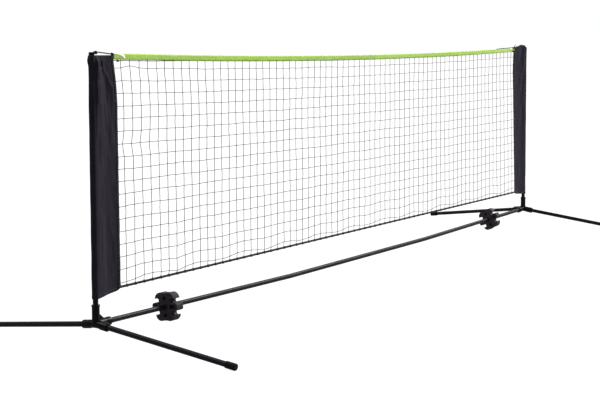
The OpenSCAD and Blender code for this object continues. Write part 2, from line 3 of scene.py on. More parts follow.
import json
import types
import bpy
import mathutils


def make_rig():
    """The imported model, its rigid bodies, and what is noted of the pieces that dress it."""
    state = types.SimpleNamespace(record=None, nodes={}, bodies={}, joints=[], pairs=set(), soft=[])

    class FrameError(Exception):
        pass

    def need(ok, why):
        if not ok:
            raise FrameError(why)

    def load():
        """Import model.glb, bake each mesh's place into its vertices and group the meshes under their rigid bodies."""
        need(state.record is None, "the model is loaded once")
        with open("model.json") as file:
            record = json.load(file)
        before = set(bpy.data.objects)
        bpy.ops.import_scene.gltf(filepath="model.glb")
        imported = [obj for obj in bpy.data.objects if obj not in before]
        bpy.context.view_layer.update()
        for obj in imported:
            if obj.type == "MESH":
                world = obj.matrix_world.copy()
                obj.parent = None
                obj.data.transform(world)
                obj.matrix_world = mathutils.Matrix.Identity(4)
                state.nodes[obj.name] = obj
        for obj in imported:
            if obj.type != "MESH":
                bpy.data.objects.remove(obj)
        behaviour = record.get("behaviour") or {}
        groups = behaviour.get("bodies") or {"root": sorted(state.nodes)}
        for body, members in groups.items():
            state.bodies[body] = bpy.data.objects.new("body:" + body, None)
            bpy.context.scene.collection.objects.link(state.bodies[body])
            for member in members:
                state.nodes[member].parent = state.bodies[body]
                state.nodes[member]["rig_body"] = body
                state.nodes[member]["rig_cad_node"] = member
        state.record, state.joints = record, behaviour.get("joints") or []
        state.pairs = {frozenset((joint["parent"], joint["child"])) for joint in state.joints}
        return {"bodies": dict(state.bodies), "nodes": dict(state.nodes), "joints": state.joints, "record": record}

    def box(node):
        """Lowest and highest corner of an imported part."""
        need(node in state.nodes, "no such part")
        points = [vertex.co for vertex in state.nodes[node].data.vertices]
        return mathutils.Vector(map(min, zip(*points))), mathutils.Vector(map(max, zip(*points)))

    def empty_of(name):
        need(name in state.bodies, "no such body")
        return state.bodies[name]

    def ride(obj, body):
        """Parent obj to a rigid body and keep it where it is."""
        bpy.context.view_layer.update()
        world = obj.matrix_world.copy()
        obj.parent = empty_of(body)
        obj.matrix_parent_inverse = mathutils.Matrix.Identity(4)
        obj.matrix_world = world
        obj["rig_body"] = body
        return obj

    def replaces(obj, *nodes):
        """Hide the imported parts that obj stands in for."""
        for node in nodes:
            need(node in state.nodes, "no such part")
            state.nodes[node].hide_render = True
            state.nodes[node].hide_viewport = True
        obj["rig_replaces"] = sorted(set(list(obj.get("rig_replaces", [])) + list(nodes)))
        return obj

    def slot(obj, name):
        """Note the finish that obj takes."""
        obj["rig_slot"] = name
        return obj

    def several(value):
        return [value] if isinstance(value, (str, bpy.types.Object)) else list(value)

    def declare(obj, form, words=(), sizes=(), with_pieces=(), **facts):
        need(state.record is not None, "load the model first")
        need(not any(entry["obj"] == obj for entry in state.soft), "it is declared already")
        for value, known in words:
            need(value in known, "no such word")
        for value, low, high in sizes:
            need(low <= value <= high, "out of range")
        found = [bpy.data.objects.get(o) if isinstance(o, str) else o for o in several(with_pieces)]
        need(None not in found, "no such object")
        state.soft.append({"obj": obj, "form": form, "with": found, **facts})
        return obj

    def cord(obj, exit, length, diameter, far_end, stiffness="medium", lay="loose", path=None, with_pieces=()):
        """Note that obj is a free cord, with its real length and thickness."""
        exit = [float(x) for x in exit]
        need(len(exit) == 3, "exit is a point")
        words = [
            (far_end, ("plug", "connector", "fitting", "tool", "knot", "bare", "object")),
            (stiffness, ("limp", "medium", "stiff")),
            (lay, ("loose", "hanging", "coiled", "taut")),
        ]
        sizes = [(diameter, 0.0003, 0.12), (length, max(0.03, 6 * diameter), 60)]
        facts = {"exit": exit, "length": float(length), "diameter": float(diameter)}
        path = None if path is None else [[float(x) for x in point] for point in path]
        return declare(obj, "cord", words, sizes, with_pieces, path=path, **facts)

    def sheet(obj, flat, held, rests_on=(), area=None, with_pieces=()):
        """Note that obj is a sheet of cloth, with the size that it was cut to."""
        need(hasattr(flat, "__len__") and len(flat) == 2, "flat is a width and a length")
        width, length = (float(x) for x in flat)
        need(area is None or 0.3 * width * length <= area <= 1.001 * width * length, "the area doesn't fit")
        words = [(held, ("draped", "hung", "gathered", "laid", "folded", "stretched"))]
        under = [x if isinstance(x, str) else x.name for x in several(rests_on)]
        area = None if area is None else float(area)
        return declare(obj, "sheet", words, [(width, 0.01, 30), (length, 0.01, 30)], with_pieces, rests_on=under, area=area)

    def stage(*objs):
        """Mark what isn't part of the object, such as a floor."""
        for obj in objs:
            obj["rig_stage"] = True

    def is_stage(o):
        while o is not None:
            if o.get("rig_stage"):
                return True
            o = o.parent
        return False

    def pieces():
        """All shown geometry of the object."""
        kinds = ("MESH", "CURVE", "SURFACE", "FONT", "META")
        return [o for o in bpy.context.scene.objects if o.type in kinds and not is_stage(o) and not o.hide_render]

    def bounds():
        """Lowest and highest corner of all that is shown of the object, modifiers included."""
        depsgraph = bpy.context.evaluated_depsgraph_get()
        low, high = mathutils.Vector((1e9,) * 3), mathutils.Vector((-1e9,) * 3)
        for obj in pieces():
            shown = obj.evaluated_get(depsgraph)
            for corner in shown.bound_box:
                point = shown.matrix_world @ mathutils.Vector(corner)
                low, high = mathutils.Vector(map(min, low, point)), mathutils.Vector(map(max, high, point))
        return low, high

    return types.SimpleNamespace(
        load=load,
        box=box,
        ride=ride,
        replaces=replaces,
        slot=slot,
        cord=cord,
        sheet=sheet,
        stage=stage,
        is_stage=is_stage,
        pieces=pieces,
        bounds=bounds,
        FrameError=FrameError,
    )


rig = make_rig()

bl_info = {
    "name": "Portable Sports Net",
    "version": (1, 0, 0),
    "blender": (4, 5, 0),
    "location": "3D View > Sidebar > Sports Net",
    "description": "Builds the netting, band, sleeves, cords and finishes of a portable sports net",
    "category": "Add Mesh",
}

import json
from functools import partial
from math import cos, exp, hypot, pi, radians, sin, sqrt

import bmesh
import bpy
from bpy.props import FloatProperty, FloatVectorProperty, IntProperty, PointerProperty
from mathutils import Matrix, Vector, noise

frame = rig.load()
CAD_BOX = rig.bounds()


# ---------- numbers ----------

def linear(code):
    """Linear colour of an sRGB hex value."""
    channels = [int(code[i:i + 2], 16) / 255 for i in (1, 3, 5)]
    return [c / 12.92 if c <= 0.04045 else ((c + 0.055) / 1.055) ** 2.4 for c in channels]


def mix(a, b, t):
    """From a at t = 0 to b at t = 1."""
    return a + (b - a) * t


def ease(t):
    """Smooth step from 0 at t = 0 to 1 at t = 1."""
    t = min(max(t, 0.0), 1.0)
    return t * t * (3 - 2 * t)


def through(points, x):
    """Smooth height at x of a line through (x, height) points that rise in x."""
    for (x0, y0), (x1, y1) in zip(points, points[1:]):
        if x <= x1:
            return mix(y0, y1, ease((x - x0) / (x1 - x0)))
    return points[-1][1]


def ripple(*place):
    """Smooth noise from about -1 to 1, the same on each run.

    Where it moves a point, the factor before it is the waves' height in metres. The factors in
    it say how close the waves lie, and a lone number keeps two noises apart.
    """
    return noise.noise(Vector(place))


# ---------- settings ----------

def number(title, about, default, **more):
    """A number that a user may change."""
    return FloatProperty(name=title, description=about, default=default, **more)


def metres(title, about, default):
    """A length that a user may change."""
    return number(title, about, default, unit="LENGTH", precision=4)


def three_lengths(title, about, default, **more):
    """Three lengths that a user may change."""
    return FloatVectorProperty(name=title, description=about, default=default, unit="LENGTH",
                               **more)


def colour(title, about, code):
    """A colour that a user may change."""
    return FloatVectorProperty(name=title, description=about, default=linear(code),
                               subtype="COLOR", min=0, max=1)


class StageSettings(bpy.types.PropertyGroup):
    """The camera, the floor and the light."""
    place: three_lengths("Camera", "Place of the camera", (-4.2104, -2.4726, 0.8612),
                         subtype="TRANSLATION")
    heading: number("Heading", "Turn of the camera from the rear towards the right",
                    radians(56.7484), subtype="ANGLE")
    tilt: number("Tilt", "How far the camera looks down", radians(4.2953), subtype="ANGLE")
    roll: number("Roll", "Turn of the camera about its line of sight", radians(-0.2398),
                 subtype="ANGLE")
    lens: number("Lens", "Focal length on a sensor 36 mm wide, in millimetres", 77.585)
    shift: number("Shift", "Upward shift of the lens, in sensor widths", -0.10917)
    floor: colour("Floor", "Colour of the floor and the backdrop", "#FFFFFF")
    daylight: number("Daylight", "Strength of the even light from all round", 0.17)
    key: number("Key", "Strength of the key lamp, in watts per square metre", 7.6)
    box: number("Soft box", "Power of the soft box for the right post, in watts", 2.4)


class CordSettings(bpy.types.PropertyGroup):
    """The cords that carry the netting. The top and bottom cords are drawn thicker than they
    are (3 and about 6 mm), so that they show."""
    top: metres("Top cord", "Diameter of the cord in the fold of the band", 0.0034)
    top_length: metres("Top cord's length", "Length from eye to eye with its ends", 2.985)
    bottom: metres("Bottom cord", "Diameter of the cord under the netting", 0.0076)
    bottom_length: metres("Bottom cord's length", "Length from sleeve to sleeve", 2.82)
    head: metres("Head cord", "Diameter of the cord on the band's lower edge", 0.0024)
    head_length: metres("Head cord's length", "Length from sleeve to sleeve", 2.79)
    knot: metres("Knot", "Size of the knots of the top cord", 0.0075)
    colour: colour("Cord", "Colour of the cords", "#161619")


class BandSettings(bpy.types.PropertyGroup):
    """The tape that is folded over the top cord."""
    height: metres("Height", "Height of the folded band", 0.018)
    tape: metres("Tape", "Thickness of the tape", 0.0008)
    half_gap: metres("Fold", "Middle of each face from the middle of the band", 0.0022)
    pinch: metres("Pinch", "The same at the sewn lower edges", 0.0014)
    stitch: metres("Stitch", "Pitch of the stitches", 0.004)
    colour: colour("Band", "Colour of the tape", "#98BB50")
    # painted highlight: near-white colour of the pale strips that stand for the light on the band's folded ends
    reverse: colour("Reverse", "Colour of the turned ends", "#F2F8D8")
    thread: colour("Thread", "Colour of the band's thread", "#7D9E3C")


class SleeveSettings(bpy.types.PropertyGroup):
    """The cloth sleeves on the two posts."""
    left: three_lengths("Left widths", "Width at the bottom, the shoulder and the top",
                        (0.106, 0.103, 0.086))
    right: three_lengths("Right widths", "Width at the bottom, the shoulder and the top",
                         (0.101, 0.129, 0.121))
    shoulder: metres("Shoulder", "Height of the shoulder below the top", 0.135)
    cloth: metres("Cloth", "Thickness of the cloth", 0.0005)
    radius: metres("Tunnel", "Radius of the cloth round the post", 0.0102)
    reach: metres("Reach", "Where the two layers come together, from the post axis", 0.060)
    half_gap: metres("Layers", "Middle of each layer from the middle of the panel", 0.0011)
    hem: metres("Hem", "Width of the binding and of the bottom hem", 0.009)
    colour: colour("Sleeve", "Colour of the cloth", "#18161B")
    bright: colour("Bright cloth", "Colour of the cloth where it is stretched", "#2C2831")


class NettingSettings(bpy.types.PropertyGroup):
    """The knotted netting. Real twine is about 1.5 mm; drawn at 2 mm so that it shows."""
    uprights: IntProperty(name="Uprights", description="Upright strands", default=70, min=8)
    rows: IntProperty(name="Rows", description="Level strands", default=18, min=4)
    twine: metres("Twine", "Diameter of the twine", 0.0020)
    knot: metres("Knot", "Size of a knot", 0.0025)
    edge: metres("Edge", "Outer strands from the sleeves", 0.029)
    lowest: metres("Lowest row", "Lowest row above the bottom cord", 0.0155)
    highest: metres("Highest row", "Highest row below the band's centre line", 0.033)
    wave: metres("Wave", "Height of the waves of the lowest row", 0.0045)
    colour: colour("Twine", "Colour of the twine", "#37373C")


class StandSettings(bpy.types.PropertyGroup):
    """The finishes of the tubes and the mouldings."""
    steel: colour("Steel", "Colour of the powder coat", "#211E26")
    nylon: colour("Fittings", "Colour of the moulded fittings and caps", "#111013")
    clips: colour("Clips", "Colour of the storage clips", "#252026")
    rubber: colour("Caps", "Colour of the foot caps", "#0C0C0D")


class SportsNetSettings(bpy.types.PropertyGroup):
    """All settings of the net."""
    stage: PointerProperty(type=StageSettings)
    cords: PointerProperty(type=CordSettings)
    band: PointerProperty(type=BandSettings)
    sleeves: PointerProperty(type=SleeveSettings)
    netting: PointerProperty(type=NettingSettings)
    stand: PointerProperty(type=StandSettings)


def settings():
    """The scene's settings of the net."""
    return bpy.context.scene.sports_net


# ---------- places read from the frame ----------

BODY = "net_and_posts"
SIDES = {"left": -1, "right": 1}


def middle(node):
    """Centre of a CAD node."""
    low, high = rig.box(node)
    return (low + high) / 2


POST_X = {side: middle(f"{side}_post").x for side in SIDES}
BAND_LOW, BAND_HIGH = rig.box("top_band")
TOP_CORD_LOW, TOP_CORD_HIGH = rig.box("top_cord")
BOTTOM_CORD_LOW, BOTTOM_CORD_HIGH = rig.box("bottom_cord")
BOTTOM_CORD_Z = middle("bottom_cord").z
SLEEVE_LOW_Z, SLEEVE_TOP_Z = (corner.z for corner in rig.box("left_sleeve"))


def band_height(x):
    """Height of the band's centre line at x."""
    half_height = settings().band.height / 2
    centre, half = (BAND_LOW.x + BAND_HIGH.x) / 2, (BAND_HIGH.x - BAND_LOW.x) / 2
    ends, lowest = BAND_HIGH.z - half_height, BAND_LOW.z + half_height
    return ends - (ends - lowest) * (1 - ((x - centre) / half) ** 2)


EDGE_RISE = 0.031     # net edge of a sleeve starts this high above the sleeve's lowest point
SHOULDER_POWER = 1.5  # bend of the edge above the shoulder


def sleeve_width(side, z):
    """Width of a sleeve at height z, from its post axis to its net edge."""
    sleeves = settings().sleeves
    bottom, shoulder, top = sleeves.left if side == "left" else sleeves.right
    low, bend = SLEEVE_LOW_Z + EDGE_RISE, SLEEVE_TOP_Z - sleeves.shoulder
    if z > bend:
        return mix(shoulder, top, ((z - bend) / sleeves.shoulder) ** SHOULDER_POWER)
    return mix(bottom, shoulder, max(0.0, (z - low) / (bend - low)))


def net_edge(side, z):
    """X of a sleeve's net edge at height z."""
    return POST_X[side] - SIDES[side] * sleeve_width(side, z)


# ---------- making pieces ----------

def mesh_from(name, bm):
    """Mesh of a bmesh, which is then freed."""
    mesh = bpy.data.meshes.new(name)
    bm.to_mesh(mesh)
    bm.free()
    return mesh


def linked(name, data):
    """New object in the scene."""
    obj = bpy.data.objects.new(name, data)
    bpy.context.scene.collection.objects.link(obj)
    return obj


def piece(name, bm, material, slot, replaced=(), thickness=0):
    """Turns a bmesh into a smooth piece of the net that rides with the posts.

    A sheet gets its thickness, half to each side.
    """
    mesh = mesh_from(name, bm)
    mesh.shade_smooth()
    mesh.materials.append(material)
    obj = linked(name, mesh)
    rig.ride(obj, BODY)
    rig.slot(obj, slot)
    if replaced:
        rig.replaces(obj, *replaced)
    if thickness:
        solid = obj.modifiers.new("Thickness", "SOLIDIFY")
        solid.thickness = thickness
        solid.offset = 0
    return obj


def lofted(columns, rows, place, width, length, seam=False):
    """Grid whose points are moved to place(u, v), with a UV map in metres.

    seam joins its two long sides to a tube and closes the tube's ends.
    """
    bm = bmesh.new()
    uv = bm.loops.layers.uv.new("UVMap")
    bmesh.ops.create_grid(bm, x_segments=columns, y_segments=rows, size=0.5)
    for face in bm.faces:
        for loop in face.loops:
            loop[uv].uv = ((loop.vert.co.x + 0.5) * width, (loop.vert.co.y + 0.5) * length)
    for vert in bm.verts:
        vert.co = place(vert.co.x + 0.5, vert.co.y + 0.5)
    if seam:
        bmesh.ops.remove_doubles(bm, verts=bm.verts, dist=1e-6)
        bmesh.ops.holes_fill(bm, edges=[edge for edge in bm.edges if edge.is_boundary])
    bmesh.ops.recalc_face_normals(bm, faces=bm.faces)
    return bm


def evenly(route, step):
    """Points of a route at even distances of about step, with its corners rounded."""
    route = [Vector(point) for point in route]
    lengths = [0.0]
    for a, b in zip(route, route[1:]):
        lengths.append(lengths[-1] + (b - a).length)
    count = round(lengths[-1] / step)
    points, i = [], 0
    for n in range(count + 1):
        distance = lengths[-1] * n / count
        while i < len(route) - 2 and lengths[i + 1] < distance:
            i += 1
        share = (distance - lengths[i]) / (lengths[i + 1] - lengths[i])
        points.append(route[i].lerp(route[i + 1], share))
    rounded = [(a + b * 2 + c) / 4 for a, b, c in zip(points, points[1:], points[2:])]
    return [points[0], *rounded, points[-1]]


def cord_tube(route, diameter, sides):
    """Round tube along evenly spaced points that lie near the plane of the net."""
    rings = len(route) - 1

    def place(u, v):
        i = round(v * rings)
        along = (route[min(i + 1, rings)] - route[max(i - 1, 0)]).normalized()
        across = along.cross(Vector((0, 1, 0))).normalized()
        other = across.cross(along)
        turn = 2 * pi * u
        return route[i] + (across * cos(turn) + other * sin(turn)) * diameter / 2

    length = sum((b - a).length for a, b in zip(route, route[1:]))
    return lofted(sides, rings, place, pi * diameter, length, seam=True)


def twined(lines, diameter, closed=False, roundness=1):
    """Bmesh of round twine along several lines of points."""
    line_data = bpy.data.curves.new("twine", "CURVE")
    line_data.dimensions = "3D"
    line_data.bevel_depth = diameter / 2
    line_data.bevel_resolution = roundness
    line_data.use_fill_caps = not closed
    for points in lines:
        spline = line_data.splines.new("POLY")
        spline.points.add(len(points) - 1)
        spline.use_cyclic_u = closed
        for point, place in zip(spline.points, points):
            point.co = (*place, 1)
    holder = bpy.data.objects.new("twine", line_data)
    mesh = bpy.data.meshes.new_from_object(holder)
    bm = bmesh.new()
    bm.from_mesh(mesh)
    bpy.data.objects.remove(holder)
    bpy.data.curves.remove(line_data)
    bpy.data.meshes.remove(mesh)
    bmesh.ops.recalc_face_normals(bm, faces=bm.faces)
    return bm


KNOT_ACROSS = 6       # width of the plain knot line, which size brings to scale
KNOT_SWING = 1.4      # how far the plain line swings to the front and the back


def knot_line(size, points):
    """Closed line of a tight knot about the origin, size across."""
    line = []
    for n in range(points):
        t = 2 * pi * n / points
        line.append(Vector((
            sin(t) + 2 * sin(2 * t),
            cos(t) - 2 * cos(2 * t),
            -KNOT_SWING * sin(3 * t),
        )) * size / KNOT_ACROSS)
    return line


def repeated(shape, matrices):
    """Bmesh with a copy of a small bmesh at each matrix."""
    mesh = mesh_from("shape", shape)
    bm = bmesh.new()
    placed = Matrix.Identity(4)
    for matrix in matrices:
        mesh.transform(matrix @ placed.inverted())
        placed = matrix
        bm.from_mesh(mesh)
    bpy.data.meshes.remove(mesh)
    return bm


STITCH_REACH = 0.36   # half the length of a stitch, in pitches
STITCH_RISE = 0.8     # how high a stitch stands, in half widths


def stitched(name, lines, pitch, size, material, slot):
    """Rows of raised stitches along lines of points."""
    stitch = bmesh.new()
    bmesh.ops.create_icosphere(stitch, subdivisions=1, radius=1)
    matrices = []
    for line in lines:
        for a, b in zip(line, line[1:]):
            along = (b - a).normalized()
            side = along.cross(Vector((0, 1, 0))).normalized()
            turn = Matrix((along, side, side.cross(along))).transposed().to_4x4()
            shape = Matrix.Diagonal((STITCH_REACH * pitch, size, size * STITCH_RISE, 1))
            matrices.append(Matrix.Translation((a + b) / 2) @ turn @ shape)
    return piece(name, repeated(stitch, matrices), material, slot)


# ---------- finishes ----------

def add(tree, kind, inputs=None, **values):
    """Adds a node with its settings.

    inputs maps each socket to a value, to another node's socket, or to a node, whose first
    output it takes.
    """
    node = tree.nodes.new("ShaderNode" + kind)
    for name, value in values.items():
        setattr(node, name, value)
    for socket, value in (inputs or {}).items():
        if isinstance(value, bpy.types.Node):
            value = value.outputs[0]
        if isinstance(value, bpy.types.NodeSocket):
            tree.links.new(value, node.inputs[socket])
        else:
            node.inputs[socket].default_value = value
    return node


def per_mm(size):
    """Noise scale for marks about size millimetres across."""
    return 1000 / size


def per_rib(spacing):
    """Wave scale for ribs that are spacing millimetres apart."""
    return pi / 10 * 1000 / spacing


def rgba(code):
    """Colour for a node, from an sRGB hex value or from a setting."""
    return (*(linear(code) if isinstance(code, str) else code), 1)


def new_finish(name, tone, roughness, specular, sheen=0.0, coordinates="Object"):
    """Material, its node tree and the coordinates of its patterns.

    What is even all over stands on the shader's own sockets.
    """
    material = bpy.data.materials.new(name)
    material.use_nodes = True
    tree = material.node_tree
    shader = tree.nodes["Principled BSDF"]
    for socket, value in (
        ("Base Color", rgba(tone)), ("Roughness", roughness), ("Specular IOR Level", specular),
        ("Sheen Weight", sheen), ("Sheen Roughness", 0.4),
    ):
        shader.inputs[socket].default_value = value
    return material, tree, add(tree, "TexCoord").outputs[coordinates]


def patterned(material, colour, roughness=None, normal=None):
    """Runs patterns into the shader's colour, roughness and normal.

    colour is (pattern, dark, light), roughness is (pattern, low, high), and normal is
    (pattern, height in metres, strength). From 0.3 to 0.7 is where most of a noise lies.
    """
    tree = material.node_tree
    pattern, dark, light = colour
    made = {"Base Color": add(tree, "MixRGB", {"Fac": pattern, "Color1": dark,
                                               "Color2": light})}
    if roughness:
        pattern, low, high = roughness
        made["Roughness"] = add(tree, "MapRange", {"Value": pattern, "From Min": 0.3,
                                                   "From Max": 0.7, "To Min": low,
                                                   "To Max": high})
    if normal:
        pattern, height, strength = normal
        made["Normal"] = add(tree, "Bump", {"Height": pattern, "Distance": height,
                                            "Strength": strength})
    for socket, node in made.items():
        tree.links.new(node.outputs[0], tree.nodes["Principled BSDF"].inputs[socket])
    return material


def powder_coated_steel():
    """Drawn steel tube with a satin black powder coat: a fine orange peel that spreads each
    highlight into a soft line, and a duller film where hands and bags rub it."""
    steel = settings().stand.steel
    material, tree, place = new_finish("powder_coated_steel", steel, 0.36, 0.03)
    # real orange peel is about 1.5 mm; drawn at 4 mm so that it shows
    rubbed, dust, peel = [
        add(tree, "TexNoise", {"Vector": place, "Scale": per_mm(size), "Detail": detail})
        for size, detail in ((70, 3), (30, 5), (4, 1))]
    return patterned(material, colour=(dust, rgba("#131116"), rgba(steel)),
                     roughness=(rubbed, 0.28, 0.46), normal=(peel, 0.00012, 0.6))


def moulded_nylon(name, tone, light, roughness, specular):
    """Injection-moulded glass-filled nylon with a spark-eroded grain: an even, half-matt
    black with a fine sparkle, smoother on the crests where it is handled."""
    material, tree, place = new_finish(name, tone, roughness, specular)
    handled = add(tree, "TexNoise", {"Vector": place, "Scale": per_mm(22), "Detail": 3})
    # the real grain is about 0.4 mm; drawn at 1.6 mm so that it shows
    grain = add(tree, "TexNoise", {"Vector": place, "Scale": per_mm(1.6), "Detail": 2})
    return patterned(material, colour=(grain, rgba(tone), rgba(light)),
                     roughness=(handled, roughness - 0.05, roughness + 0.13),
                     normal=(grain, 0.0001, 0.4))


def moulded_rubber():
    """Compression-moulded rubber caps: matt, slightly bloomed black with dusty scuffs."""
    material, tree, place = new_finish("moulded_rubber", settings().stand.rubber, 0.6, 0.04)
    bloom = add(tree, "TexNoise", {"Vector": place, "Scale": per_mm(9), "Detail": 4})
    scuffs = add(tree, "TexNoise", {"Vector": place, "Scale": per_mm(2), "Detail": 2})
    return patterned(material, colour=(bloom, rgba("#080809"), rgba("#131315")),
                     roughness=(bloom, 0.52, 0.74), normal=(scuffs, 0.0002, 0.4))


def satin_polyester():
    """Thin satin-woven polyester, piece-dyed black: a faint violet sheen where it is pulled
    over the folds, and a fine slanting weave with slubs."""
    sleeves = settings().sleeves
    material, tree, flat = new_finish("satin_polyester", sleeves.colour, 0.42, 0.02, 0.04, "UV")
    tree.nodes["Principled BSDF"].inputs["Sheen Tint"].default_value = rgba("#8C86A8")
    drawn_out = add(tree, "Mapping", {"Vector": flat, "Scale": (1, 0.33, 1)})
    cloud = add(tree, "TexNoise", {"Vector": drawn_out, "Scale": per_mm(26), "Detail": 3})
    worn = add(tree, "TexNoise", {"Vector": flat, "Scale": per_mm(60), "Detail": 2})
    slubs = add(tree, "TexNoise", {"Vector": drawn_out, "Scale": per_mm(3), "Detail": 1})
    turned = add(tree, "Mapping", {"Vector": flat, "Rotation": (0, 0, radians(52))})
    # real threads are 0.2 mm apart; drawn at 2.4 mm so that they show
    threads = add(tree, "TexWave", {"Vector": turned, "Scale": per_rib(2.4)})
    weave = add(tree, "Math", {0: threads, 1: slubs}, operation="MULTIPLY")
    return patterned(material, colour=(cloud, rgba(sleeves.colour), rgba(sleeves.bright)),
                     roughness=(worn, 0.42, 0.58), normal=(weave, 0.00025, 0.5))


def twill_binding():
    """Polyester twill tape, dyed black: denser, duller and darker than the cloth it binds,
    with steep raised lines, painted darker between them as painted shade."""
    material, tree, flat = new_finish("twill_binding", "#100F13", 0.72, 0.08, 0.03, "UV")
    turned = add(tree, "Mapping", {"Vector": flat, "Rotation": (0, 0, radians(63))})
    # real twill lines are 0.5 mm apart; drawn at 2 mm so that they show
    twill = add(tree, "TexWave", {"Vector": turned, "Scale": per_rib(2)})
    # painted shade: darker between the raised twill lines, lighter on them
    return patterned(material, colour=(twill, rgba("#0D0C10"), rgba("#17161B")),
                     normal=(twill, 0.0003, 0.7))


def ribbed_tape(name, shade, tone, light):
    """Woven polyester ribbon: crosswise ribs with painted shade in the grooves, and soft marks where it is handled,
    which are rougher there and lighter in colour as painted light.
    """
    material, tree, flat = new_finish(name, tone, 0.78, 0.2, 0.12, "UV")
    # real ribs are 1.2 mm apart; drawn at 3.2 mm so that they show
    ribs = add(tree, "TexWave", {"Vector": flat, "Scale": per_rib(3.2)}, bands_direction="Y")
    # painted shade: the grooves between the ribs take the darker shade colour
    rib_shaded_colour = add(tree, "MixRGB", {"Fac": ribs, "Color1": rgba(shade), "Color2": rgba(tone)})
    drawn_out = add(tree, "Mapping", {"Vector": flat, "Scale": (2, 0.25, 1)})
    handled = add(tree, "TexNoise", {"Vector": drawn_out, "Scale": per_mm(30), "Detail": 3})
    # painted light: the lighter patches along the tape
    lit = add(tree, "MapRange", {"Value": handled, "From Min": 0.35, "From Max": 0.7,
                                 "To Min": 0.0, "To Max": 0.6})
    return patterned(material, colour=(lit, rib_shaded_colour, rgba(light)),
                     roughness=(handled, 0.70, 0.86), normal=(ribs, 0.0003, 0.6))


def braided_cord(name, coordinates):
    """Braided polyester cord, dyed in the yarn: a matt black braid of small diamonds, painted darker in the hollows
    between the yarns as painted shade.
    """
    material, tree, place = new_finish(name, settings().cords.colour, 0.74, 0.08, 0.03,
                                       coordinates)
    yarns = []
    for lean in (38, -38):
        turned = add(tree, "Mapping", {"Vector": place, "Rotation": (0, 0, radians(lean))})
        # real yarns are about 1 mm apart; drawn at 2.2 mm so that they show
        yarns.append(add(tree, "TexWave", {"Vector": turned, "Scale": per_rib(2.2)}))
    braid = add(tree, "Math", {0: yarns[0], 1: yarns[1]}, operation="MULTIPLY")
    # painted shade: darker in the hollows between the yarns, lighter on their crests
    return patterned(material, colour=(braid, rgba("#0A0A0C"), rgba("#1B1B1E")),
                     normal=(braid, 0.0005, 0.8))


def knotted_twine():
    """Twisted polyethylene twine, extruded black, with a slight grey bloom on its plies."""
    material, tree, place = new_finish("knotted_twine", settings().netting.colour, 0.7, 0.1,
                                       0.03)
    # real plies are 0.6 mm; drawn at 2 mm so that they show
    plies = add(tree, "TexNoise", {"Vector": place, "Scale": per_mm(2), "Detail": 2})
    return patterned(material, colour=(plies, rgba("#2A2A2F"), rgba("#4A4A50")),
                     normal=(plies, 0.0003, 0.7))


def sewing_thread(name, tone, light):
    """Twisted polyester sewing thread, painted a little lighter in soft spots as a painted highlight that stands for
    the light on the crown of each stitch.
    """
    material, tree, place = new_finish(name, tone, 0.6, 0.3, 0.1)
    crown_highlights = add(tree, "TexNoise", {"Vector": place, "Scale": per_mm(3), "Detail": 1})
    # painted highlight: lighter spots for the light on the stitch crowns
    return patterned(material, colour=(crown_highlights, rgba(tone), rgba(light)))


# ---------- stage ----------

FLOOR_HALF = 60       # half the width of the floor, in metres
PAINT, GLOW = 0.09, 0.93    # shares of the floor's white that are lit and that are its own
BOUNCE = 0.25         # share of the light that the floor throws back at the net
# each sun's name, strength in keys, spread, and tilt and turn in degrees
SUNS = (("key", 1, 20, 50, 66), ("fill", 0.02, 50, 30, -50), ("rear", 0.26, 12, 36, 200))
BOX_PLACE, BOX_AIM = Vector((-0.3, -1.7, 0.5)), Vector((1.5, -0.2, 0.15))
BOX_SIZE, BOX_SPREAD = 0.6, 50
SENSOR = 36           # width of the camera's sensor, in millimetres
FARTHEST = 200        # the camera sees this far, in metres


